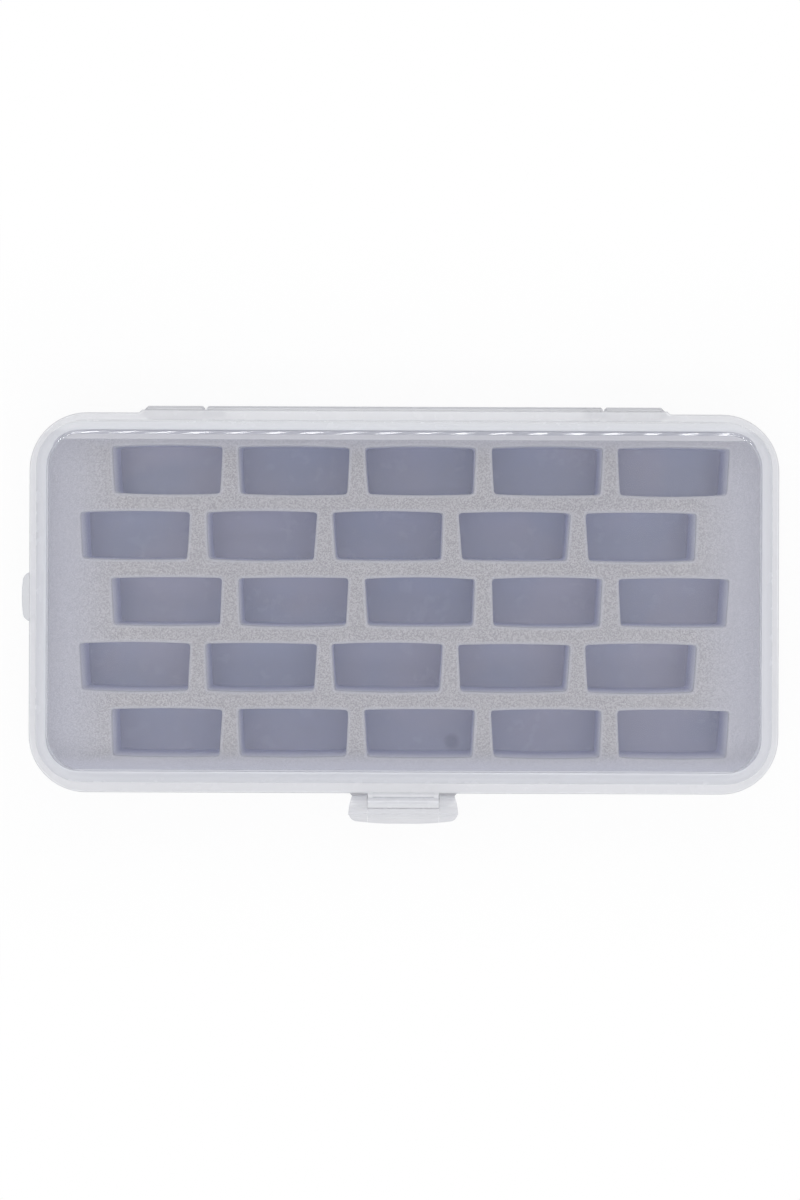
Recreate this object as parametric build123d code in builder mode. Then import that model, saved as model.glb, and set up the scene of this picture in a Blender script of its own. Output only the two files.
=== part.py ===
# Bobbin storage box: a shallow case of clear plastic, hinged at the back and latched at the
# front, over one block of foam with a slot for each bobbin.
#
# Millimetres, +Z up. The origin is the centre of the underside. +X runs along the case, the
# hinge is at +Y, the latch at -Y and the small loop at -X. The case is closed and latched.
import os
from math import cos, radians, sqrt, tan

from build123d import *

# The case, seen from above: the lid's rim is the outermost outline
case_length = 179.0
case_width = 90.7
case_corner = 13.7
rim_shift = 0.33  # of both rims towards the front, past the walls

# Heights, from the underside
base_height = 19.0
lid_height = 14.0

# Base shell
base_wall = 1.6
base_floor = 1.6
base_draft = 2.0  # degrees
base_rim_setback = 0.2  # the base's rim stays this far inside the lid's
base_rim_width = 2.8
base_rim_thickness = 2.0
base_foot_fillet = 2.5
floor_fillet = 0.3
rim_fillet = 0.5

# Locating lip, which stands on the base and slips into the lid
lip_height = 2.0
lip_clearance = 0.25
lip_chamfer = 0.3

# Lid shell
lid_wall = 1.4
lid_top = 1.4
lid_draft = 3.2  # degrees
lid_rim_width = 2.35
lid_rim_thickness = 1.8
lid_edge_fillet = 3.0
lid_root_fillet = 0.6  # between the wall and the rim

# Hinge: the base's long barrel turns between the lid's two short knuckles
hinge_length = 125.4
barrel_length = 95.0
barrel_radius = 1.7
barrel_reach = 1.8  # how far the barrel stands past the rim
hinge_clearance = 0.2  # under the lid's rim
hinge_end_gap = 0.4
hinge_chamfer = 0.5
hinge_end_chamfer = 1.2
knuckle_clearance = 0.3
knuckle_web = 1.0  # in front of the hinge's axis
strip_reach = 0.7  # how far the lid's rim covers the hinge, past the rim itself
pin_radius = 0.8
pin_length = 4.4
pin_clearance = 0.05
pin_end_room = 0.4
pin_chamfer = 0.2

# Latch pivot, on the boss at the front of the lid
pivot_reach = 2.2  # in front of the rim
pivot_height = 1.0  # above the parting plane
boss_width = 17.0
boss_radius = 1.5
boss_rib = 1.2
boss_rib_rise = 0.1  # above the rim
boss_pocket_depth = 0.2  # below the rim

# Latch
latch_width = 26.2
latch_neck_width = 24.4
latch_wall = 1.4
latch_top = 0.8  # above the pivot
latch_drop = 5.2  # from the pivot down to where the lip flares
flare_radius = 3.65
flare_angle = 80.0  # degrees
latch_tip_bow = 0.9
latch_corner = 1.95
latch_side_length = 2.05  # straight, between the flare and the bowed tip
latch_edge_fillet = 0.5
latch_gap = 0.1  # round the boss
arm_radius = 1.7
arm_gap = 0.15  # beside the boss
arm_gusset = 3.2  # below the pivot
stub_radius = 0.75
stub_length = 2.6
stub_clearance = 0.05
stub_end_room = 0.3

# Snap: the bead inside the latch, and the catch on the base that it clicks past
catch_width = 24.2
catch_root_width = 26.0
catch_taper = 1.0  # in front of the rim, where its root ends
catch_reach = 2.6  # in front of the rim
catch_height = 2.4
catch_drop = 1.2  # from the parting plane to the catch's top
catch_slope = 0.8
bead_width = 22.0
bead_gap = 0.15  # in front of the catch
bead_height = 1.3

# Loop at the left end
loop_length = 11.9
loop_reach = 2.35  # past the rim
loop_bow = 0.5
loop_corner = 2.2
loop_thickness = 2.0
loop_drop = 3.0  # from the parting plane to the loop's top
loop_place = 0.9  # along Y
loop_bar = 2.45
loop_slot_length = 8.2
loop_slot_width = 2.2

# Foam block and its slots
foam_thickness = 20.0
foam_gap = 0.2  # inside the locating lip
slot_rows = 5
slot_columns = 5
slot_end_margin = 7.28  # from the block's end to the nearest slot
slot_side_margin = 3.4  # from the block's long side to the nearest row
slot_end_wall = 3.77  # between the slots of a row
slot_side_wall = 3.95  # between rows
slot_shift = 3.88  # of each row, to the right and to the left in turn
slot_taper = 1.2  # a slot's front edge is this much shorter than its back edge
slot_bow = 0.3
slot_corner = 0.8

# Worked out from the sizes above
parting = base_height
rim_front = -case_width / 2 - rim_shift
rim_back = case_width / 2 - rim_shift
base_wall_inset = base_rim_setback + base_rim_width
base_cavity_inset = base_wall_inset + base_wall
wall_front = -case_width / 2 + base_wall_inset + base_wall / 2  # the middle of the wall
base_rim_bottom = parting - base_rim_thickness
lid_rim_top = parting + lid_rim_thickness
lid_wall_height = lid_height - lid_rim_thickness
lid_cavity_inset = lid_rim_width + lid_wall - lid_rim_thickness * tan(radians(lid_draft))
lip_inset = lid_cavity_inset + lip_clearance
foam_inset = base_cavity_inset + foam_gap
foam_top = base_floor + foam_thickness
hinge_y = rim_back + barrel_reach - barrel_radius
hinge_z = parting - hinge_clearance - barrel_radius
barrel_end = barrel_length / 2
knuckle_start = barrel_end + hinge_end_gap
knuckle_end = hinge_length / 2
pivot_y = rim_front - pivot_reach
pivot_z = parting + pivot_height
latch_inside = boss_radius + latch_gap
latch_outside = latch_inside + latch_wall
latch_reach = latch_outside + flare_radius * (1 - cos(radians(flare_angle)))


def outline(inset):
    """Length, width and corner radius of the case's outline, drawn in from the lid's rim."""
    return case_length - 2 * inset, case_width - 2 * inset, case_corner - inset


def before_rim(reach, height):
    """A point of a section across the case, this far in front of the rim."""
    return rim_front - reach, height


def from_pivot(reach, rise):
    """A point of a section across the case, counted from the latch's pivot."""
    return pivot_y - reach, pivot_z + rise


os.makedirs("parts", exist_ok=True)

# Room inside the base: drafted from the rim down to the floor, straight through rim and lip
with BuildPart() as base_cavity:
    with BuildSketch(Plane.XY.offset(base_rim_bottom)):
        RectangleRounded(*outline(base_cavity_inset))
    extrude(amount=base_floor - base_rim_bottom, taper=base_draft)
    fillet(base_cavity.faces().sort_by(Axis.Z)[0].edges(), floor_fillet)
    with BuildSketch(Plane.XY.offset(base_rim_bottom)):
        RectangleRounded(*outline(base_cavity_inset))
    extrude(amount=base_rim_thickness + lip_height)

# Rim of the base, with its lower edge rounded and room in it for the lid's knuckles
with BuildPart() as base_rim:
    with BuildSketch(Plane.XY.offset(base_rim_bottom)):
        with Locations((0, -rim_shift)):
            RectangleRounded(*outline(base_rim_setback))
    extrude(amount=base_rim_thickness)
    fillet(base_rim.faces().sort_by(Axis.Z)[0].edges(), rim_fillet)
    with BuildSketch(Plane.XY.offset(base_rim_bottom)):
        for side in (-1, 1):
            with BuildLine():
                notch_front = hinge_y - barrel_radius - knuckle_clearance
                notch_end = knuckle_end + knuckle_clearance
                Polyline(
                    (side * barrel_end, notch_front),
                    (side * notch_end, notch_front),
                    (side * notch_end, rim_back),
                    (side * barrel_end, rim_back),
                    close=True,
                )
            make_face()
    extrude(amount=base_rim_thickness, mode=Mode.SUBTRACT)

# Catch for the latch's bead, with a wider root
with BuildPart() as catch:
    with BuildSketch(Plane.YZ):
        with BuildLine():
            catch_top = parting - catch_drop
            Polyline(
                (wall_front, catch_top),
                before_rim(catch_reach - catch_slope, catch_top),
                before_rim(catch_reach, catch_top - catch_slope),
                before_rim(catch_reach, catch_top - catch_height),
                (wall_front, catch_top - catch_height),
                close=True,
            )
        make_face()
    extrude(amount=catch_root_width / 2, both=True)
    with BuildSketch(Plane.XY):
        with BuildLine():
            Polyline(
                (-catch_root_width / 2, wall_front),
                (-catch_root_width / 2, rim_front),
                (-catch_width / 2, rim_front - catch_taper),
                (-catch_width / 2, rim_front - catch_reach),
                (catch_width / 2, rim_front - catch_reach),
                (catch_width / 2, rim_front - catch_taper),
                (catch_root_width / 2, rim_front),
                (catch_root_width / 2, wall_front),
                close=True,
            )
        make_face()
    extrude(amount=base_height, mode=Mode.INTERSECT)

# Base shell
with BuildPart() as base_shell:
    # Tray
    with BuildSketch(Plane.XY.offset(base_rim_bottom)):
        RectangleRounded(*outline(base_wall_inset))
    extrude(amount=-base_rim_bottom, taper=base_draft)
    fillet(base_shell.faces().sort_by(Axis.Z)[0].edges(), base_foot_fillet)
    add(base_rim.part)

    # Locating lip
    with BuildSketch(Plane.XY.offset(parting)):
        RectangleRounded(*outline(lip_inset))
    extrude(amount=lip_height)
    chamfer(base_shell.faces().sort_by(Axis.Z)[-1].edges(), lip_chamfer)
    add(base_cavity.part, mode=Mode.SUBTRACT)

    # Hinge barrel with chamfered ends, and a blind bore at each end
    with BuildSketch(Plane.XY.offset(hinge_z)):
        with BuildLine():
            Polyline(
                (-barrel_end, hinge_y),
                (-barrel_end, hinge_y + barrel_radius - hinge_chamfer),
                (-barrel_end + hinge_chamfer, hinge_y + barrel_radius),
                (barrel_end - hinge_chamfer, hinge_y + barrel_radius),
                (barrel_end, hinge_y + barrel_radius - hinge_chamfer),
                (barrel_end, hinge_y),
                close=True,
            )
        make_face()
    revolve(axis=Axis((0, hinge_y, hinge_z), (1, 0, 0)))
    for side in (-1, 1):
        with BuildSketch(Plane.YZ.offset(side * barrel_end)):
            with Locations((hinge_y, hinge_z)):
                Circle(pin_radius + pin_clearance)
        bore_depth = pin_length - hinge_end_gap + pin_end_room
        extrude(amount=-side * bore_depth, mode=Mode.SUBTRACT)

    # Catch
    add(catch.part)

    # Loop at the left end
    with BuildSketch(Plane.XY.offset(parting - loop_drop)) as loop:
        with BuildLine():
            loop_tip = -case_length / 2 - loop_reach
            loop_root = -case_length / 2 + base_wall_inset + base_wall / 2
            loop_back = loop_place + loop_length / 2
            loop_front = loop_place - loop_length / 2
            ThreePointArc(
                (loop_tip + loop_bow, loop_back),
                (loop_tip, loop_place),
                (loop_tip + loop_bow, loop_front),
            )
            Polyline(
                (loop_tip + loop_bow, loop_front),
                (loop_root, loop_front),
                (loop_root, loop_back),
                (loop_tip + loop_bow, loop_back),
            )
        make_face()
        fillet(loop.vertices().group_by(Axis.X)[0], loop_corner)
        with Locations((loop_tip + loop_bar + loop_slot_width / 2, loop_place)):
            SlotOverall(loop_slot_length, loop_slot_width, rotation=90, mode=Mode.SUBTRACT)
    extrude(amount=-loop_thickness)
base_shell.part.label = "base_shell"
export_step(base_shell.part, "parts/base_shell.step")

# Room inside the lid
with BuildPart() as lid_cavity:
    with BuildSketch(Plane.XY.offset(parting)):
        RectangleRounded(*outline(lid_cavity_inset))
    extrude(amount=lid_height - lid_top, taper=lid_draft)
    fillet(lid_cavity.faces().sort_by(Axis.Z)[-1].edges(), lid_edge_fillet - lid_wall)

# Rim of the lid, with the strip that covers the hinge, and its upper edge rounded
with BuildPart() as lid_rim:
    with BuildSketch(Plane.XY.offset(parting)):
        with Locations((0, -rim_shift)):
            RectangleRounded(*outline(0))
        with BuildLine():
            Polyline(
                (-knuckle_end - strip_reach, rim_back - case_corner),
                (-knuckle_end - strip_reach, rim_back),
                (-knuckle_end, rim_back + strip_reach),
                (knuckle_end, rim_back + strip_reach),
                (knuckle_end + strip_reach, rim_back),
                (knuckle_end + strip_reach, rim_back - case_corner),
                close=True,
            )
        make_face()
    extrude(amount=lid_rim_thickness)
    fillet(lid_rim.faces().sort_by(Axis.Z)[-1].edges(), rim_fillet)

# Lid shell
with BuildPart() as lid_shell:
    with BuildSketch(Plane.XY.offset(lid_rim_top)):
        RectangleRounded(*outline(lid_rim_width))
    extrude(amount=lid_wall_height, taper=lid_draft)
    fillet(lid_shell.faces().sort_by(Axis.Z)[-1].edges(), lid_edge_fillet)
    add(lid_rim.part)
    rim_top = lid_shell.faces().filter_by(lambda face: len(face.inner_wires()) == 1)[0]
    fillet(rim_top.inner_wires()[0].edges(), lid_root_fillet)

    # Boss for the latch: a bar along the pivot, held by a low web and two ribs
    with BuildSketch(Plane.YZ):
        with BuildLine():
            web_top = lid_rim_top - boss_pocket_depth
            Polyline(
                before_rim(-rim_fillet, parting),
                before_rim(pivot_reach, parting),
                before_rim(pivot_reach, web_top),
                before_rim(-rim_fillet, web_top),
                close=True,
            )
        make_face()
        with Locations((pivot_y, pivot_z)):
            Circle(boss_radius)
    extrude(amount=boss_width / 2, both=True)
    for side in (-1, 1):
        with BuildSketch(Plane.YZ.offset(side * boss_width / 2)):
            with BuildLine():
                rib_top = lid_rim_top + boss_rib_rise
                Polyline(
                    before_rim(-rim_fillet, parting),
                    before_rim(pivot_reach, parting),
                    before_rim(pivot_reach, rib_top),
                    before_rim(-rim_fillet, rib_top),
                    close=True,
                )
            make_face()
        extrude(amount=-side * boss_rib)
        with BuildSketch(Plane.YZ.offset(side * boss_width / 2)):
            with Locations((pivot_y, pivot_z)):
                Circle(stub_radius + stub_clearance)
        stub_bore_depth = stub_length - arm_gap + stub_end_room
        extrude(amount=-side * stub_bore_depth, mode=Mode.SUBTRACT)

    # Knuckles, each turned in one profile with its pin, and the webs that hang them
    for side in (-1, 1):
        with BuildSketch(Plane.XY.offset(hinge_z)):
            with BuildLine():
                pin_tip = knuckle_start - pin_length
                Polyline(
                    (side * pin_tip, hinge_y),
                    (side * pin_tip, hinge_y + pin_radius - pin_chamfer),
                    (side * (pin_tip + pin_chamfer), hinge_y + pin_radius),
                    (side * knuckle_start, hinge_y + pin_radius),
                    (side * knuckle_start, hinge_y + barrel_radius - hinge_chamfer),
                    (side * (knuckle_start + hinge_chamfer), hinge_y + barrel_radius),
                    (side * (knuckle_end - hinge_end_chamfer), hinge_y + barrel_radius),
                    (side * knuckle_end, hinge_y + barrel_radius - hinge_end_chamfer),
                    (side * knuckle_end, hinge_y),
                    close=True,
                )
            make_face()
        revolve(axis=Axis((0, hinge_y, hinge_z), (1, 0, 0)))
        with BuildSketch(Plane.XY.offset(parting)):
            with BuildLine():
                web_front = hinge_y - knuckle_web
                web_back = rim_back + strip_reach - rim_fillet
                Polyline(
                    (side * knuckle_start, web_front),
                    (side * knuckle_end, web_front),
                    (side * knuckle_end, web_back),
                    (side * knuckle_start, web_back),
                    close=True,
                )
            make_face()
        extrude(amount=hinge_z - parting)
    add(lid_cavity.part, mode=Mode.SUBTRACT)
lid_shell.part.label = "lid_shell"
export_step(lid_shell.part, "parts/lid_shell.step")

# Front latch
with BuildPart() as front_latch:
    # Plate and flared lip, in section: round the boss at the top, rounded there and at the tip
    with BuildSketch(Plane.YZ) as section:
        with BuildLine():
            top_inside = from_pivot(sqrt(latch_inside**2 - latch_top**2), latch_top)
            inside = Line(from_pivot(latch_inside, 0), from_pivot(latch_inside, -latch_drop))
            outside = Line(from_pivot(latch_outside, latch_top), from_pivot(latch_outside, -latch_drop))
            flare_inside = JernArc(inside @ 1, inside % 1, flare_radius + latch_wall, -flare_angle)
            flare_outside = JernArc(outside @ 1, outside % 1, flare_radius, -flare_angle)
            RadiusArc(inside @ 0, top_inside, latch_inside)
            Line(top_inside, outside @ 0)
            Line(flare_inside @ 1, flare_outside @ 1)
        make_face()
        fillet(section.vertices().group_by(Axis.Y)[-1].sort_by(Axis.X)[0], latch_edge_fillet)
        fillet(section.vertices().sort_by(Axis.X)[:2], latch_edge_fillet)
    extrude(amount=latch_width / 2, both=True)

    # Arms, one on each side of the boss
    for side in (-1, 1):
        with BuildSketch(Plane.YZ.offset(side * (boss_width / 2 + arm_gap))):
            with BuildLine():
                Polyline(
                    from_pivot(0, arm_radius),
                    from_pivot(latch_inside + latch_wall / 2, latch_top),
                    from_pivot(latch_inside + latch_wall / 2, -arm_gusset),
                    from_pivot(0, -arm_radius),
                    close=True,
                )
            make_face()
            with Locations((pivot_y, pivot_z)):
                Circle(arm_radius)
        extrude(amount=side * (latch_width - boss_width) / 2)

    # Outline from above: a neck at the pivot, and a wider lip with a bowed tip
    with BuildSketch(Plane.XY) as latch_outline:
        with BuildLine():
            tip_y = pivot_y - latch_reach
            corner_y = tip_y + latch_tip_bow
            waist_y = corner_y + latch_side_length
            neck_y = pivot_y + arm_radius
            for side in (-1, 1):
                waist = (side * latch_width / 2, waist_y)
                TangentArc(waist, (side * latch_neck_width / 2, neck_y), tangent=(0, 1))
                Line(waist, (side * latch_width / 2, corner_y))
            Line((-latch_neck_width / 2, neck_y), (latch_neck_width / 2, neck_y))
            ThreePointArc((-latch_width / 2, corner_y), (0, tip_y), (latch_width / 2, corner_y))
        make_face()
        fillet(latch_outline.vertices().group_by(Axis.Y)[0], latch_corner)
    extrude(amount=base_height + lid_height, mode=Mode.INTERSECT)

    # Bead that clicks past the catch
    with BuildSketch(Plane.YZ):
        with BuildLine():
            bead_tip = catch_reach + bead_gap - pivot_reach
            bead_top = parting - catch_drop - catch_height - bead_gap - pivot_z
            Polyline(
                from_pivot(latch_inside + latch_wall / 2, bead_top),
                from_pivot(latch_inside, bead_top),
                from_pivot(bead_tip, bead_top - bead_height / 2),
                from_pivot(latch_inside, bead_top - bead_height),
                from_pivot(latch_inside + latch_wall / 2, bead_top - bead_height),
                close=True,
            )
        make_face()
    extrude(amount=bead_width / 2, both=True)

    # Stub pins that turn in the boss
    for side in (-1, 1):
        with BuildSketch(Plane.YZ.offset(side * (boss_width / 2 + arm_gap))):
            with Locations((pivot_y, pivot_z)):
                Circle(stub_radius)
        extrude(amount=-side * stub_length)
front_latch.part.label = "front_latch"
export_step(front_latch.part, "parts/front_latch.step")

# One slot, wider at the back, with its long edges bowed outwards. The slots share what the
# block's margins and the walls between them leave.
foam_length, foam_width, foam_corner = outline(foam_inset)
slots_length = foam_length - 2 * (slot_end_margin + slot_shift)
slots_width = foam_width - 2 * slot_side_margin
slot_back_width = (slots_length - (slot_columns - 1) * slot_end_wall) / slot_columns
slot_front_width = slot_back_width - slot_taper
slot_depth = (slots_width - (slot_rows - 1) * slot_side_wall) / slot_rows - 2 * slot_bow
with BuildSketch() as slot:
    with BuildLine():
        back_left = (-slot_back_width / 2, slot_depth / 2)
        back_right = (slot_back_width / 2, slot_depth / 2)
        front_left = (-slot_front_width / 2, -slot_depth / 2)
        front_right = (slot_front_width / 2, -slot_depth / 2)
        ThreePointArc(back_left, (0, slot_depth / 2 + slot_bow), back_right)
        Line(back_right, front_right)
        ThreePointArc(front_right, (0, -slot_depth / 2 - slot_bow), front_left)
        Line(front_left, back_left)
    make_face()
    fillet(slot.vertices(), slot_corner)

# Foam block: it follows the base's drafted walls and its slots go right through
slot_row_pitch = slot_depth + 2 * slot_bow + slot_side_wall
slot_column_pitch = slot_back_width + slot_end_wall
slot_centres = []
for row in range(slot_rows):
    row_shift = slot_shift * (-1) ** row
    row_y = (row - (slot_rows - 1) / 2) * slot_row_pitch
    for column in range(slot_columns):
        column_x = (column - (slot_columns - 1) / 2) * slot_column_pitch
        slot_centres.append((column_x + row_shift, row_y))

with BuildPart() as foam_insert:
    with BuildSketch(Plane.XY.offset(foam_top)):
        RectangleRounded(foam_length, foam_width, foam_corner)
    extrude(amount=-foam_thickness, taper=base_draft)
    with BuildSketch(Plane.XY.offset(foam_top)):
        with Locations(*slot_centres):
            add(slot.sketch)
    extrude(amount=-foam_thickness, mode=Mode.SUBTRACT)
foam_insert.part.label = "foam_insert"
export_step(foam_insert.part, "parts/foam_insert.step")
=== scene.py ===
# Looks for the bobbin storage box: frosted plastic on the case, lid and latch, and a cut foam
# block in place of the plain solid. Metres, in the frame of the CAD model, whose hinge is at +Y.
import random
from math import cos, pi, radians, sin, tan
from types import SimpleNamespace

import bpy
from mathutils import Euler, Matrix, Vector, noise
from mathutils.geometry import delaunay_2d_cdt


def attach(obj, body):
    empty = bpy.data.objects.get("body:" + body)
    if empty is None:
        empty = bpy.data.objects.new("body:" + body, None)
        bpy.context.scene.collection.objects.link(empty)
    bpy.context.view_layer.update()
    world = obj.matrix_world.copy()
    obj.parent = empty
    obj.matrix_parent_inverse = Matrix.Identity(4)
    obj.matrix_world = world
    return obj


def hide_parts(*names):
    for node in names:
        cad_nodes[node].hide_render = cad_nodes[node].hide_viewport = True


mm = 0.001

# Camera: it looks straight down from a little behind the box's middle. Its picture is shifted
# until camera_aim is in the middle, and turned a little.
camera_place = Vector((0.0, 10.0, 681.0)) * mm
camera_aim = Vector((-0.95, 0.5, 20.8)) * mm
camera_lens = 83.0
camera_roll = radians(0.22)
sensor = 36.0

# The lid's and the base's outer faces, as cups: start is the height of the open end
lid_cup = SimpleNamespace(
    start=20.8 * mm,
    height=12.2 * mm,
    length=174.3 * mm,
    width=86.0 * mm,
    corner=11.35 * mm,
    fillet=3.0 * mm,
    draft=radians(3.2),
)
base_cup = SimpleNamespace(
    start=17.0 * mm,
    height=17.0 * mm,
    length=173.0 * mm,
    width=84.7 * mm,
    corner=10.7 * mm,
    fillet=2.5 * mm,
    draft=radians(2.0),
)
parting = 19.0 * mm

# The lid's boss, with the latch and its arms round it, as in the CAD model
latch_pivot = (-47.88 * mm, 20.0 * mm)
boss_width = 17.0 * mm
boss_radius = 1.5 * mm
latch_gap = 0.1 * mm
arm_gap = 0.15 * mm

# How solid the plastic is where it should hardly show: on inner faces and in the latch's gaps
nearly_clear = 0.03

# On the base's floor, a darker round mark and the middle of a darker, bluer patch of painted shade
dark_mark_place = Vector((11.8, -34.4, 1.6)) * mm
shade_patch_place = Vector((0.0, 27.0, 1.6)) * mm

# Foam block and its slots, as in the CAD model
foam_length = 169.4 * mm
foam_width = 81.1 * mm
foam_corner = 8.9 * mm
foam_draft = radians(2.0)
foam_bottom = 1.6 * mm
foam_top = 21.6 * mm
slot_rows = 5
slot_columns = 5
slot_back_width = 26.4 * mm
slot_front_width = 25.2 * mm
slot_depth = 11.1 * mm
slot_bow = 0.3 * mm
slot_corner = 0.8 * mm
slot_column_pitch = 30.17 * mm
slot_row_pitch = 15.65 * mm
slot_shift = 3.88 * mm

# What the scene adds to the block: its slots a little off, soft cut edges and an uneven top
slot_jitter = 0.2 * mm
slot_lean = 0.35 * mm
cut_radius = 0.45 * mm
edge_radius = 0.12 * mm
cut_steps = 3
cut_halo = 0.4 * mm
foam_sag = 0.12 * mm
sag_scale = 60
foam_grid = 2.2 * mm
grid_jitter = 0.3 * mm
grid_room = 0.8 * mm
long_side_steps = 18
short_side_steps = 8
straight_wall_rings = (0.9, 0.5)

# The narrow lamps that the lid's back edge mirrors, seen from above
lamp_count = 36
lamp_spacing = 25.3 * mm
lamp_width = 10 * mm
lamp_start = 220 * mm
lamp_end = 480 * mm
lamp_lean = 12 * mm
lamp_row_place = Vector((-5.0, 0.0, 1200.0)) * mm
lamp_strength = 26.0

# Soft lamps, floor and surroundings
lamp_aim = Vector((0.0, 0.0, 0.0))
floor_half = 3.0
world_light = 0.64
world_colour = (0.97, 0.98, 1.0, 1.0)


def srgb(red, green, blue):
    """A colour given as 0 to 255 in sRGB, as Blender's linear colour with alpha."""
    channels = []
    for level in (red, green, blue):
        share = level / 255
        channels.append(share / 12.92 if share <= 0.04045 else ((share + 0.055) / 1.055) ** 2.4)
    return (*channels, 1.0)


class Nodes:
    """The node tree of a material or the world. Most methods add a node and return the socket it
    puts out, and their numbers can be sockets too."""

    def __init__(self, owner):
        self.owner = owner
        owner.use_nodes = True
        self.tree = owner.node_tree
        self.tree.nodes.clear()

    def add(self, kind, inputs, **settings):
        node = self.tree.nodes.new(kind)
        for key, value in settings.items():
            setattr(node, key, value)
        for key, value in inputs.items():
            socket = node.inputs[key]
            if isinstance(value, bpy.types.NodeSocket):
                self.tree.links.new(value, socket)
            else:
                socket.default_value = value
        return node

    def finish(self, surface, output="ShaderNodeOutputMaterial"):
        self.add(output, {"Surface": surface})
        return self.owner

    def math(self, operation, first, second=0.0):
        return self.add("ShaderNodeMath", {0: first, 1: second}, operation=operation).outputs[0]

    def plus(self, first, second):
        return self.math("ADD", first, second)

    def minus(self, first, second):
        return self.math("SUBTRACT", first, second)

    def times(self, first, second):
        return self.math("MULTIPLY", first, second)

    def larger(self, first, second):
        return self.math("MAXIMUM", first, second)

    def size(self, value):
        """The number without its sign."""
        return self.math("ABSOLUTE", value)

    def step(self, value, low, high):
        """0 below low, 1 above high, smooth between."""
        inputs = {"Value": value, "From Min": low, "From Max": high}
        node = self.add("ShaderNodeMapRange", inputs, interpolation_type="SMOOTHSTEP")
        return node.outputs["Result"]

    def below(self, value, low, high):
        """1 below low, 0 above high, smooth between."""
        return self.minus(1.0, self.step(value, low, high))

    def between(self, value, rise, fall):
        """1 between the rise and the fall, each given by where it starts and ends."""
        return self.times(self.step(value, *rise), self.below(value, *fall))

    def near(self, value, middle, low, high):
        """1 within low of the middle, 0 past high from it, smooth between."""
        return self.below(self.size(self.minus(value, middle)), low, high)

    def blend(self, share, first, second):
        """A number between two numbers."""
        node = self.add("ShaderNodeMix", {0: share, 2: first, 3: second}, data_type="FLOAT")
        return node.outputs[0]

    def tint(self, share, first, second):
        """A colour between two colours."""
        node = self.add("ShaderNodeMix", {0: share, 6: first, 7: second}, data_type="RGBA")
        return node.outputs[2]

    def noise(self, place, scale, detail=2.0, roughness=0.5, distortion=0.0):
        inputs = {
            "Vector": place,
            "Scale": scale,
            "Detail": detail,
            "Roughness": roughness,
            "Distortion": distortion,
        }
        return self.add("ShaderNodeTexNoise", inputs).outputs["Fac"]

    def bump(self, height, distance, strength):
        inputs = {"Strength": strength, "Distance": distance, "Height": height}
        return self.add("ShaderNodeBump", inputs).outputs[0]

    def place(self):
        """Sockets for the place in the part's frame, and for its X, Y and Z."""
        spot = self.add("ShaderNodeTexCoord", {}).outputs["Object"]
        split = self.add("ShaderNodeSeparateXYZ", {0: spot})
        return spot, split.outputs[0], split.outputs[1], split.outputs[2]

    def slope(self):
        """0 on level surfaces, 1 on upright ones."""
        normal = self.add("ShaderNodeTexCoord", {}).outputs["Normal"]
        upward = self.add("ShaderNodeSeparateXYZ", {0: normal}).outputs[2]
        return self.minus(1.0, self.size(upward))

    def thick(self, share):
        """How solid a wall of this share looks once it is seen at a slant, through more of it."""
        facing = self.add("ShaderNodeLayerWeight", {"Blend": 0.5}).outputs["Facing"]
        slant = self.larger(self.minus(1.0, facing), 0.16)
        clear = self.minus(1.0, share)
        return self.minus(1.0, self.math("POWER", clear, self.math("DIVIDE", 1.0, slant)))

    def apart(self, first, second):
        """Distance from the quarter where both numbers are below zero."""
        first = self.larger(first, 0.0)
        second = self.larger(second, 0.0)
        squares = self.plus(self.times(first, first), self.times(second, second))
        return self.math("SQRT", squares)

    def depth_in(self, x, y, rise, cup):
        """How far outside a cup's outer face a place is, below zero inside it. Rise is the height
        from the cup's open end towards its closed end."""
        inset = self.times(rise, tan(cup.draft))
        past_x = self.plus(self.minus(self.size(x), cup.length / 2 - cup.corner), inset)
        past_y = self.plus(self.minus(self.size(y), cup.width / 2 - cup.corner), inset)
        around = self.minus(self.apart(past_x, past_y), cup.corner)
        past_side = self.plus(around, cup.fillet)
        past_end = self.minus(rise, cup.height - cup.fillet)
        return self.minus(self.apart(past_side, past_end), cup.fillet)

    def from_point(self, place, point):
        inputs = {0: place, 1: point}
        return self.add("ShaderNodeVectorMath", inputs, operation="DISTANCE").outputs["Value"]

    def from_line(self, y, z, line):
        """Distance from a line along X, given by its place in Y and Z."""
        inputs = {1: self.minus(y, line[0]), 2: self.minus(z, line[1])}
        offset = self.add("ShaderNodeCombineXYZ", inputs).outputs[0]
        return self.add("ShaderNodeVectorMath", {0: offset}, operation="LENGTH").outputs["Value"]

    def seen(self):
        """1 for what the camera sees, also in gloss and through glass."""
        path = self.add("ShaderNodeLightPath", {}).outputs
        direct = self.larger(path["Is Camera Ray"], path["Is Glossy Ray"])
        return self.larger(direct, path["Is Transmission Ray"])


def new_material(name):
    return Nodes(bpy.data.materials.new(name))


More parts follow.
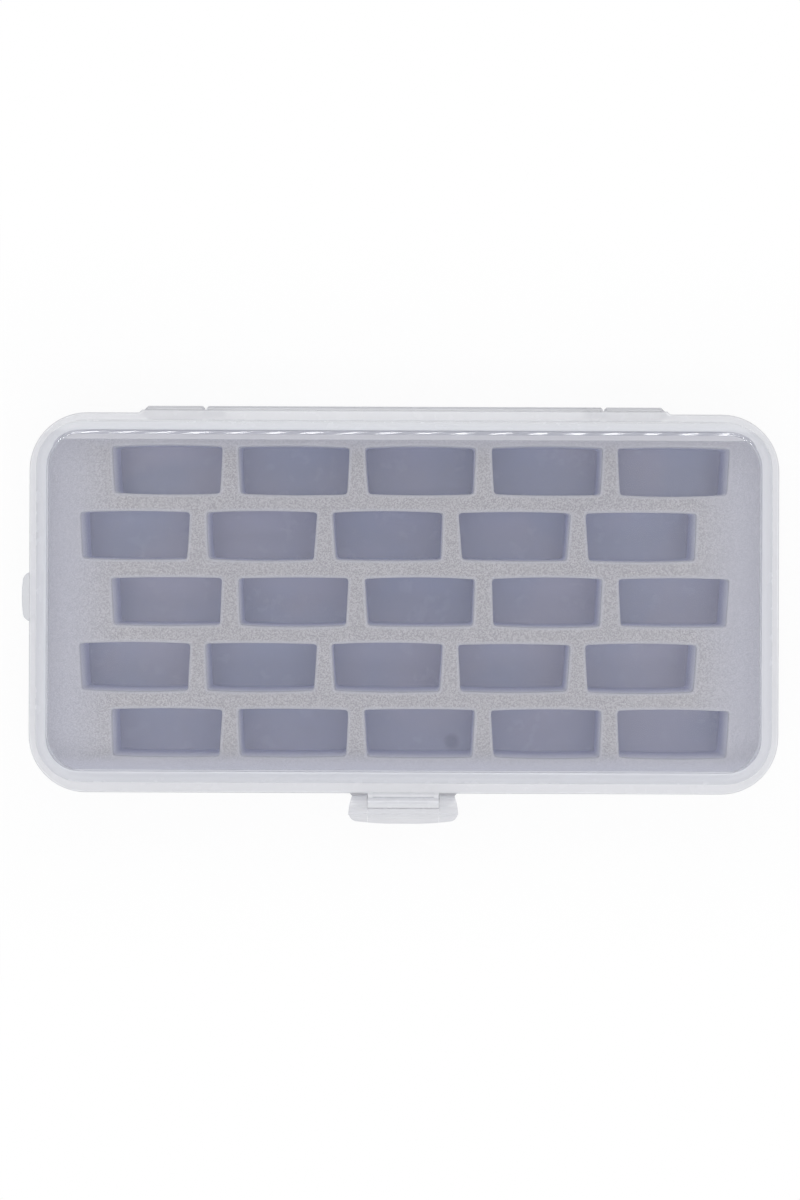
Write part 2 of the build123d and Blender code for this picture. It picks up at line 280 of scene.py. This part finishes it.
def frosted(nodes, place, colour, share, onward, polish=0.0):
    """Moulded plastic that scatters some light back, some onward, and lets the rest through."""
    grain = nodes.noise(place, 2600.0, 3.0, 0.6)
    ripple = nodes.times(nodes.noise(place, 55.0), nodes.blend(polish, 1.0, 0.4))
    fine = nodes.times(grain, nodes.blend(polish, 0.06, 0.0))
    skin = nodes.bump(nodes.plus(fine, ripple), 0.05 * mm, 0.4)
    satin = nodes.blend(nodes.noise(place, 300.0, 3.0), 0.20, 0.32)
    body = {
        "Base Color": colour,
        "Roughness": nodes.blend(polish, satin, 0.02),
        "IOR": 1.49,
        "Normal": skin,
    }
    front = nodes.add("ShaderNodeBsdfPrincipled", body).outputs[0]
    back = nodes.add("ShaderNodeBsdfTranslucent", {"Color": colour, "Normal": skin}).outputs[0]
    clear = nodes.add("ShaderNodeBsdfTransparent", {}).outputs[0]
    milk = nodes.add("ShaderNodeMixShader", {0: onward, 1: front, 2: back}).outputs[0]
    whole = nodes.add("ShaderNodeMixShader", {0: nodes.thick(share), 1: clear, 2: milk})
    return nodes.finish(whole.outputs[0])


def off_the_joint(nodes, z):
    """0 where the two rims meet, 1 a little above or below."""
    return nodes.step(nodes.size(nodes.minus(z, parting)), 0.25 * mm, 0.5 * mm)


def hinge_shade_line(nodes, y):
    """1 on a strip along the hinge, just inside its outer edge, which is coloured darker there as
    painted shade.
    """
    return nodes.between(y, (46.25 * mm, 46.4 * mm), (46.7 * mm, 46.8 * mm))


def lid_regions(nodes, x, y, z):
    """Where the lid's surface is what, each region from 0 to 1."""
    slope = nodes.slope()
    depth = nodes.depth_in(x, y, nodes.minus(z, lid_cup.start), lid_cup)
    flat = nodes.below(slope, 0.0005, 0.002)

    # The wall starts where the window's edge turns down, a little later along the back, and at the
    # front and left just before. Where it starts is set by side, so its pale colour is partly painted
    # light
    start = nodes.blend(nodes.step(y, 36 * mm, 39 * mm), 0.004, 0.03)
    wall = nodes.step(slope, nodes.times(start, 0.3), nodes.times(start, 2.0))
    at_front = nodes.below(y, -39.4 * mm, -39.15 * mm)
    at_left = nodes.below(x, -83.6 * mm, -83.45 * mm)
    wall = nodes.larger(wall, nodes.times(nodes.larger(at_front, at_left), flat))

    # Along the back the window ends in a pale line, a painted reflection, and then in a darker one on
    # its round edge, painted shade
    painted_pale_line = nodes.times(nodes.step(y, 38.0 * mm, 38.3 * mm), flat)
    # Painted shade: a darker line on the back edge where it turns down
    turn = nodes.times(nodes.step(y, 39.2 * mm, 39.4 * mm), nodes.below(slope, 0.01, 0.04))
    turn = nodes.times(turn, nodes.step(z, 31 * mm, 32 * mm))

    boss = nodes.below(y, -46.2 * mm, -45.7 * mm)
    edge = nodes.step(z, 28.5 * mm, 30.0 * mm)
    rim = nodes.below(z, 20.9 * mm, 22.5 * mm)
    root = nodes.times(nodes.step(z, 20.85 * mm, 21.0 * mm), nodes.step(slope, 0.02, 0.1))
    behind = nodes.larger(nodes.blend(rim, nodes.times(wall, 0.15), 0.5), root)
    return SimpleNamespace(
        outside=nodes.step(depth, -0.9 * mm, -0.5 * mm),
        wall=wall,
        painted_pale_line=painted_pale_line,
        turn=turn,
        edge=edge,
        rim=rim,
        rim_side=nodes.times(nodes.step(slope, 0.1, 0.6), nodes.step(depth, 1.0 * mm, 1.4 * mm)),
        boss=boss,
        boss_side=nodes.times(boss, nodes.step(slope, 0.10, 0.35)),
        boss_end=nodes.times(nodes.near(nodes.size(x), boss_width / 2, 0.03 * mm, 0.06 * mm), boss),
        behind=nodes.times(nodes.step(y, 39.5 * mm, 41.0 * mm), behind),
        polish=nodes.times(edge, nodes.below(slope, 0.02, 0.1)),
    )


def lid_colour(nodes, place, y, at):
    cloud = nodes.noise(place, 26.0)
    haze = nodes.tint(cloud, srgb(188, 190, 206), srgb(200, 200, 208))
    # Painted reflection: a pale line where the window meets its back edge
    haze = nodes.tint(at.painted_pale_line, haze, srgb(246, 246, 250))
    # Painted shade: the darker line on the back edge's turn
    haze = nodes.tint(at.turn, haze, srgb(186, 187, 197))
    colour = nodes.tint(at.wall, haze, srgb(240, 241, 245))
    # Painted shade: the rim's steep outer sides are coloured darker
    rim_colour = nodes.tint(at.rim_side, srgb(248, 248, 250), srgb(210, 210, 214))
    # Painted shade: a darker line along the hinge's back edge
    rim_colour = nodes.tint(hinge_shade_line(nodes, y), rim_colour, srgb(226, 226, 229))
    return nodes.tint(at.rim, colour, rim_colour)


def lid_share(nodes, z, at):
    """How solid the lid is. Its inner faces and the gaps at the boss's ends are nearly clear."""
    window_share = nodes.blend(at.turn, nodes.blend(at.painted_pale_line, 0.20, 0.52), 0.65)
    share = nodes.blend(at.wall, window_share, nodes.blend(at.edge, 0.50, 0.80))
    rim_share = nodes.blend(nodes.larger(at.boss, at.rim_side), 0.75, 0.96)
    share = nodes.blend(at.rim, share, nodes.times(off_the_joint(nodes, z), rim_share))
    share = nodes.blend(at.boss_end, share, nearly_clear)
    return nodes.blend(at.outside, nearly_clear, share)


def lid_plastic():
    nodes = new_material("frosted_lid_plastic")
    place, x, y, z = nodes.place()
    at = lid_regions(nodes, x, y, z)
    bright = nodes.larger(nodes.times(at.boss, 0.5), nodes.larger(at.behind, at.turn))
    bright = nodes.larger(at.boss_side, bright)
    onward = nodes.blend(bright, nodes.blend(at.rim, 0.4, 0.31), 0.1)
    colour = lid_colour(nodes, place, y, at)
    return frosted(nodes, place, colour, lid_share(nodes, z, at), onward, at.polish)


def floor_colour(nodes, place, y):
    """The base's floor: darker and bluer than the walls, partly painted shade of the deep slots; paler
    near the front, painted light; a darker, bluer patch of painted shade; and a darker round mark.
    """
    # The floor's bluish tones, darker than the walls, are partly painted shade
    cloud = nodes.noise(place, 42.0, distortion=0.4)
    colour = nodes.tint(nodes.step(cloud, 0.35, 0.65), srgb(178, 185, 212), srgb(190, 190, 212))
    # Painted light: paler towards the front
    floor_front_light = nodes.times(nodes.below(y, -38 * mm, -20 * mm), 0.5)
    colour = nodes.tint(floor_front_light, colour, srgb(206, 209, 234))
    # Painted shade: a darker, bluer patch towards the back
    shade_patch = nodes.below(nodes.from_point(place, shade_patch_place), 14 * mm, 48 * mm)
    colour = nodes.tint(nodes.times(shade_patch, 0.35), colour, srgb(140, 150, 190))
    # A darker round mark on the floor
    dark_mark = nodes.below(nodes.from_point(place, dark_mark_place), 0.8 * mm, 2.6 * mm)
    return nodes.tint(nodes.times(dark_mark, 0.6), colour, srgb(120, 126, 156))


def base_plastic():
    nodes = new_material("frosted_base_plastic")
    place, x, y, z = nodes.place()
    depth = nodes.depth_in(x, y, nodes.minus(base_cup.start, z), base_cup)
    outside = nodes.step(depth, -1.0 * mm, -0.6 * mm)
    rim = nodes.step(z, 16.6 * mm, 17.1 * mm)
    lip = nodes.step(z, 19.3 * mm, 19.6 * mm)
    floor = nodes.below(z, 1.7 * mm, 3.2 * mm)
    shaded_catch = nodes.below(y, -46.0 * mm, -45.6 * mm)
    loop_shade = nodes.between(x, (-90.6 * mm, -90.0 * mm), (-89.6 * mm, -89.3 * mm))

    # Painted shade: a darker line along the hinge's back edge
    rim_colour = nodes.tint(hinge_shade_line(nodes, y), srgb(248, 248, 250), srgb(226, 226, 229))
    # Painted shade: the catch under the latch and the strip beside the loop are coloured darker, for
    # the shade in their gaps
    rim_colour = nodes.tint(nodes.larger(shaded_catch, loop_shade), rim_colour, srgb(188, 188, 194))
    colour = nodes.tint(floor, srgb(240, 241, 244), floor_colour(nodes, place, y))
    colour = nodes.tint(rim, colour, rim_colour)

    share = nodes.blend(outside, nearly_clear, 0.50)
    share = nodes.blend(rim, share, nodes.times(off_the_joint(nodes, z), 0.6))
    share = nodes.blend(lip, share, 0.12)
    share = nodes.blend(floor, share, 0.80)
    return frosted(nodes, place, colour, share, nodes.blend(floor, 0.4, 0.05))


def latch_plastic():
    """The latch's plastic, nearly clear where it faces the boss across a gap."""
    nodes = new_material("frosted_latch_plastic")
    place, x, y, z = nodes.place()
    cloud = nodes.noise(place, 120.0)
    colour = nodes.tint(cloud, srgb(243, 243, 246), srgb(248, 248, 250))
    beside = nodes.near(nodes.size(x), boss_width / 2 + arm_gap, 0.03 * mm, 0.06 * mm)
    from_pivot = nodes.from_line(y, z, latch_pivot)
    around = nodes.near(from_pivot, boss_radius + latch_gap, 0.04 * mm, 0.08 * mm)
    share = nodes.blend(nodes.larger(beside, around), 0.60, nearly_clear)
    return frosted(nodes, place, colour, share, 0.3)


def foam_cells():
    """Fine-celled foam, grainy on top. Painted light: paler along the cut edges, and paler and bluer
    near the sides and the front. Painted shade: the slots' walls darker and bluer towards the bottom.
    """
    nodes = new_material("cut_foam")
    place, x, y, z = nodes.place()
    cut = nodes.add("ShaderNodeAttribute", {}, attribute_name="cut").outputs["Fac"]
    speck = nodes.noise(place, 2800.0, 2.0, 0.6)
    blotch = nodes.noise(place, 60.0, 3.0, 0.6)
    cell = nodes.add("ShaderNodeTexVoronoi", {"Vector": place, "Scale": 1300.0}).outputs["Distance"]
    end_side = nodes.step(nodes.size(x), 66 * mm, 82 * mm)
    long_side = nodes.step(nodes.size(y), 34 * mm, 40 * mm)
    painted_side_light = nodes.larger(end_side, long_side)
    painted_front_light = nodes.below(y, -40.0 * mm, -36.0 * mm)

    colour = nodes.tint(nodes.step(speck, 0.38, 0.62), srgb(172, 170, 172), srgb(212, 210, 211))
    colour = nodes.tint(nodes.times(blotch, 0.4), colour, srgb(190, 187, 186))
    # Painted light: paler and bluer near the block's sides and front
    colour = nodes.tint(nodes.times(painted_side_light, 0.55), colour, srgb(206, 207, 219))
    colour = nodes.tint(nodes.times(painted_front_light, 0.55), colour, srgb(228, 229, 240))
    # Painted highlight: paler along the cut edges
    colour = nodes.tint(nodes.times(cut, 0.7), colour, srgb(208, 208, 214))
    # Painted shade: the slots' walls darker and bluer towards the bottom
    painted_wall_light = nodes.step(z, 4.0 * mm, 19.0 * mm)
    shaded_wall_colour = nodes.tint(painted_wall_light, srgb(216, 219, 240), srgb(238, 239, 247))
    colour = nodes.tint(nodes.below(z, 19.0 * mm, 21.0 * mm), colour, shaded_wall_colour)
    relief = nodes.plus(nodes.times(cell, 0.6), speck)
    look = {
        "Base Color": colour,
        "Roughness": nodes.blend(speck, 0.8, 1.0),
        "Specular IOR Level": 0.15,
        "Sheen Weight": 0.12,
        "Normal": nodes.bump(relief, 0.12 * mm, 0.6),
    }
    return nodes.finish(nodes.add("ShaderNodeBsdfPrincipled", look).outputs[0])


def divided(points, side_length):
    """The same closed line, with its long stretches divided."""
    result = []
    for start, end in zip(points, points[1:] + points[:1]):
        count = max(1, round((end - start).length / side_length))
        result.extend(start.lerp(end, n / count) for n in range(count))
    return result


def rounded(length, width, corner, corner_steps=10, side_length=3.0 * mm):
    """A closed line round a rectangle with round corners, anticlockwise from above."""
    points = []
    for turn, (side, end) in enumerate(((1, 1), (-1, 1), (-1, -1), (1, -1))):
        centre = Vector((side * (length / 2 - corner), end * (width / 2 - corner)))
        for step in range(corner_steps + 1):
            angle = (turn + step / corner_steps) * pi / 2
            points.append(centre + Vector((cos(angle), sin(angle))) * corner)
    return divided(points, side_length)


def slot_corners(centre, chance):
    """A slot's four corners, from its front right one anticlockwise, each a little off."""
    corners = []
    for side, end, width in (
        (1, -1, slot_front_width),
        (1, 1, slot_back_width),
        (-1, 1, slot_back_width),
        (-1, -1, slot_front_width),
    ):
        shift = Vector((chance.uniform(-1, 1), chance.uniform(-0.5, 0.5))) * slot_jitter
        corners.append(centre + Vector((side * width, end * slot_depth)) / 2 + shift)
    return corners


def slot_line(centre, chance):
    """One cut slot, anticlockwise from above, with round corners and sides that bow a little."""
    corners = slot_corners(centre, chance)
    points = []
    for n in range(4):
        start, end, after = corners[n], corners[(n + 1) % 4], corners[(n + 2) % 4]
        is_long = n % 2 == 1
        bow = chance.uniform(0.6, 1.4) * slot_bow if is_long else chance.uniform(0.0, 0.08) * mm
        length = (end - start).length
        along = (end - start) / length
        outward = Vector((along.y, -along.x))
        count = long_side_steps if is_long else short_side_steps
        for step in range(count + 1):
            share = (slot_corner + (length - 2 * slot_corner) * step / count) / length
            points.append(start.lerp(end, share) + outward * bow * (1 - (2 * share - 1) ** 2))
        turn_start = points[-1]
        turn_end = end + (after - end).normalized() * slot_corner
        for share in (0.25, 0.5, 0.75):
            there = turn_start.lerp(end, share)
            points.append(there.lerp(end.lerp(turn_end, share), share))
    return points


def grown(line, amount):
    """The closed line moved outward by this much."""
    result = []
    for n, point in enumerate(line):
        along = (line[(n + 1) % len(line)] - line[n - 1]).normalized()
        result.append(point + Vector((along.y, -along.x)) * amount)
    return result


def leaned(line, share):
    """A slot's line further down: the cut drifts to the back by this share of its whole drift."""
    return [point + Vector((0.0, slot_lean * share)) for point in line]


def encloses(line, point):
    """Whether the point is inside the closed line."""
    inside = False
    for start, end in zip(line, line[1:] + line[:1]):
        if (start.y > point.y) != (end.y > point.y):
            if point.x < start.x + (point.y - start.y) / (end.y - start.y) * (end.x - start.x):
                inside = not inside
    return inside


def in_a_slot(point, slots):
    """Whether the point is inside one of these lines, each the size of a slot at most."""
    for line in slots:
        reach = point - line[0]
        if abs(reach.x) < slot_column_pitch and abs(reach.y) < slot_row_pitch and encloses(line, point):
            return True
    return False


class Skin:
    """A mesh in the making, with how near each point is to a cut edge."""

    def __init__(self):
        self.points = []
        self.cuts = []
        self.faces = []

    def point(self, spot, height, cut=0.0):
        self.points.append((spot.x, spot.y, height))
        self.cuts.append(cut)
        return len(self.points) - 1

    def sheet(self, edge, holes, inner, height, upward):
        """A level face inside the edge and outside the holes. Returns the lines' points."""
        spots = list(edge)
        lines = [range(len(edge))]
        for hole in holes:
            lines.append(range(len(spots), len(spots) + len(hole)))
            spots.extend(hole)
        sides = [(line[n], line[(n + 1) % len(line)]) for line in lines for n in range(len(line))]
        spots.extend(inner)
        only_inside = 1
        weld = 1e-8
        found, _, faces, origins, _, _ = delaunay_2d_cdt(spots, sides, [], only_inside, weld)
        numbers = [self.point(spot, height(spot)) for spot in found]
        place = {origin: numbers[n] for n, group in enumerate(origins) for origin in group}
        for face in faces:
            middle = sum((found[n] for n in face), Vector((0.0, 0.0))) / len(face)
            if not in_a_slot(middle, holes):
                corners = [numbers[n] for n in face]
                self.faces.append(corners if upward else corners[::-1])
        return [[place[n] for n in line] for line in lines]

    def band(self, ring, line, heights, cut, is_hole):
        """A strip of faces from the ring down to the line, at these heights."""
        below = [self.point(spot, height, cut) for spot, height in zip(line, heights)]
        self.join(ring, below, is_hole)
        return below

    def join(self, ring, below, is_hole):
        """Faces between two rings of points, which look outward, or into a hole."""
        for n in range(len(ring)):
            m = (n + 1) % len(ring)
            quad = [ring[n], below[n], below[m], ring[m]]
            self.faces.append(quad[::-1] if is_hole else quad)

    def made(self, name):
        mesh = bpy.data.meshes.new(name)
        mesh.from_pydata(self.points, [], self.faces)
        mesh.attributes.new("cut", "FLOAT", "POINT").data.foreach_set("value", self.cuts)
        mesh.shade_smooth()
        mesh.set_sharp_from_angle(angle=radians(50))
        return mesh


def foam_level(spot):
    """Height of the block's top: it sags a little here and there."""
    hollow = noise.noise(Vector((spot.x, spot.y, 0.0)) * sag_scale)
    return foam_top - foam_sag * (0.5 + 0.5 * hollow)


def slot_lines(chance):
    """The lines of all the slots, in rows that shift to the right and to the left in turn."""
    slots = []
    for row in range(slot_rows):
        row_shift = slot_shift * (-1) ** row
        row_y = (row - (slot_rows - 1) / 2) * slot_row_pitch
        for column in range(slot_columns):
            column_x = (column - (slot_columns - 1) / 2) * slot_column_pitch
            slots.append(slot_line(Vector((column_x + row_shift, row_y)), chance))
    return slots


def loose_points(edge, slots, chance):
    """A loose grid of points over the top, clear of the cut edges."""
    clear = cut_radius + cut_halo + grid_room
    within = grown(edge, -clear)
    slot_rooms = [grown(line, clear) for line in slots]
    points = []
    for i in range(1, int(foam_length / foam_grid)):
        for j in range(1, int(foam_width / foam_grid)):
            spot = Vector((i * foam_grid - foam_length / 2, j * foam_grid - foam_width / 2))
            spot += Vector([chance.uniform(-grid_jitter, grid_jitter) for _ in range(2)])
            if encloses(within, spot) and not in_a_slot(spot, slot_rooms):
                points.append(spot)
    return points


def foam_mesh():
    """The foam block: slots cut right through, with soft edges and straight cut walls."""
    chance = random.Random(7)
    slots = slot_lines(chance)
    edge = rounded(foam_length, foam_width, foam_corner)
    skin = Skin()
    tops = skin.sheet(
        grown(edge, -(edge_radius + cut_halo)),
        [grown(line, cut_radius + cut_halo) for line in slots],
        loose_points(edge, slots, chance),
        foam_level,
        upward=True,
    )
    bottoms = skin.sheet(
        grown(edge, -tan(foam_draft) * (foam_top - foam_bottom)),
        [leaned(line, 1.0) for line in slots],
        [],
        lambda spot: foam_bottom,
        upward=False,
    )
    for number, (line, top, bottom) in enumerate(zip([edge] + slots, tops, bottoms)):
        is_hole = number > 0
        side = 1 if is_hole else -1
        radius = cut_radius if is_hole else edge_radius
        heights = [foam_level(spot) for spot in line]
        ring = skin.band(top, grown(line, side * radius), heights, 0.7, is_hole)
        for step in range(1, cut_steps + 1):
            angle = step / cut_steps * pi / 2
            moved = grown(line, side * radius * (1 - sin(angle)))
            lower = [height - radius * (1 - cos(angle)) for height in heights]
            ring = skin.band(ring, moved, lower, 1.0, is_hole)
        for share in straight_wall_rings:
            height = foam_bottom + (foam_top - foam_bottom) * share
            inset = tan(foam_draft) * (foam_top - height)
            lower = leaned(line, 1 - share) if is_hole else grown(line, -inset)
            ring = skin.band(ring, lower, [height] * len(line), 0.0, is_hole)
        skin.join(ring, bottom, is_hole)
    return skin.made("foam_block")


def add_object(name, data, place=(0, 0, 0)):
    made = bpy.data.objects.new(name, data)
    made.location = place
    bpy.context.scene.collection.objects.link(made)
    return made


def dress(node, material):
    """Gives a CAD node this material alone."""
    node.data.materials.clear()
    node.data.materials.append(material)


def softbox(name, place, length, width, brightness):
    """A large soft lamp that faces lamp_aim. Its brightness is what its own face looks like."""
    lamp = bpy.data.lights.new(name, "AREA")
    lamp.shape = "RECTANGLE"
    lamp.size = length
    lamp.size_y = width
    lamp.energy = brightness * pi * length * width
    made = add_object(name, lamp, place)
    made.rotation_euler = (lamp_aim - Vector(place)).to_track_quat("-Z", "Y").to_euler()
    made.visible_camera = False


def lamp_row():
    """A row of narrow bright lamps above and behind, which the lid's back edge mirrors."""
    points = []
    faces = []
    for n in range(lamp_count):
        middle = (n - (lamp_count - 1) / 2) * lamp_spacing
        points.append((middle - lamp_width / 2, lamp_start, 0))
        points.append((middle + lamp_width / 2, lamp_start, 0))
        points.append((middle + lamp_width / 2 + lamp_lean, lamp_end, 0))
        points.append((middle - lamp_width / 2 + lamp_lean, lamp_end, 0))
        faces.append([4 * n, 4 * n + 3, 4 * n + 2, 4 * n + 1])
    mesh = bpy.data.meshes.new("lamp_row")
    mesh.from_pydata(points, [], faces)
    nodes = new_material("lamp_row")
    glow = nodes.add("ShaderNodeEmission", {"Strength": lamp_strength})
    mesh.materials.append(nodes.finish(glow.outputs[0]))
    made = add_object("lamp_row", mesh, lamp_row_place)
    made.visible_camera = False
    made.visible_diffuse = False
    made.visible_transmission = False
    made.visible_shadow = False


def white_floor():
    """Matt and white, and seen as plain white but for the box's shadow near it."""
    nodes = new_material("white_floor")
    _, x, y, _ = nodes.place()
    past_end = nodes.minus(nodes.size(x), 90 * mm)
    past_side = nodes.minus(nodes.size(y), 50 * mm)
    beyond = nodes.step(nodes.apart(past_end, past_side), 4 * mm, 45 * mm)
    matt = nodes.add("ShaderNodeBsdfDiffuse", {"Color": (0.9, 0.9, 0.9, 1.0)})
    white = nodes.add("ShaderNodeEmission", {"Strength": 1.0})
    share = nodes.times(nodes.seen(), nodes.blend(beyond, 0.92, 1.0))
    mixed = nodes.add("ShaderNodeMixShader", {0: share, 1: matt.outputs[0], 2: white.outputs[0]})
    return nodes.finish(mixed.outputs[0])


def stage():
    """A plain white floor, which keeps the box's shadow, and white surroundings."""
    mesh = bpy.data.meshes.new("floor")
    corners = ((-1, -1), (1, -1), (1, 1), (-1, 1))
    points = [(side * floor_half, end * floor_half, 0) for side, end in corners]
    mesh.from_pydata(points, [], [(0, 1, 2, 3)])
    mesh.materials.append(white_floor())
    add_object("floor", mesh, (0, 0, -0.0002))

    world = bpy.data.worlds.new("studio")
    bpy.context.scene.world = world
    nodes = Nodes(world)
    strength = nodes.blend(nodes.seen(), world_light, 1.0)
    light = nodes.add("ShaderNodeBackground", {"Color": world_colour, "Strength": strength})
    nodes.finish(light.outputs[0], "ShaderNodeOutputWorld")


def camera():
    data = bpy.data.cameras.new("camera")
    data.lens = camera_lens
    data.sensor_width = sensor
    data.clip_start = 0.01
    ahead = camera_aim - camera_place
    ahead.rotate(Euler((0, 0, -camera_roll)))
    data.shift_x = ahead.x / -ahead.z * camera_lens / sensor
    data.shift_y = ahead.y / -ahead.z * camera_lens / sensor
    made = add_object("camera", data, camera_place)
    made.rotation_euler = (0, 0, camera_roll)
    bpy.context.scene.camera = made


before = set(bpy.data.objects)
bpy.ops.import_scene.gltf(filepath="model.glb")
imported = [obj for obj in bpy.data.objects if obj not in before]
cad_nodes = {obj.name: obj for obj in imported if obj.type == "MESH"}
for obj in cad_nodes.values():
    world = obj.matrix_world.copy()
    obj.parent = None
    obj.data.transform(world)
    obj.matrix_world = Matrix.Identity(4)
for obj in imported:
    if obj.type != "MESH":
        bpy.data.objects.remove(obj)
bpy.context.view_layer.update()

dress(cad_nodes["lid_shell"], lid_plastic())
dress(cad_nodes["base_shell"], base_plastic())
dress(cad_nodes["front_latch"], latch_plastic())

foam = add_object("foam_block", foam_mesh())
foam.data.materials.append(foam_cells())
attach(foam, "case")
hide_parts("foam_insert")

stage()
lamp_row()
softbox("left_softbox", (-0.62, 0.0, 1.3), 0.35, 1.0, 1.15)
softbox("right_softbox", (0.62, 0.0, 1.3), 0.35, 1.0, 1.35)
softbox("front_softbox", (0.0, -0.55, 1.3), 1.0, 0.3, 4.25)
softbox("back_softbox", (0.0, 0.66, 1.25), 1.0, 0.4, 1.45)
camera()

scene = bpy.context.scene
scene.view_settings.view_transform = "Standard"
scene.cycles.transparent_max_bounces = 32
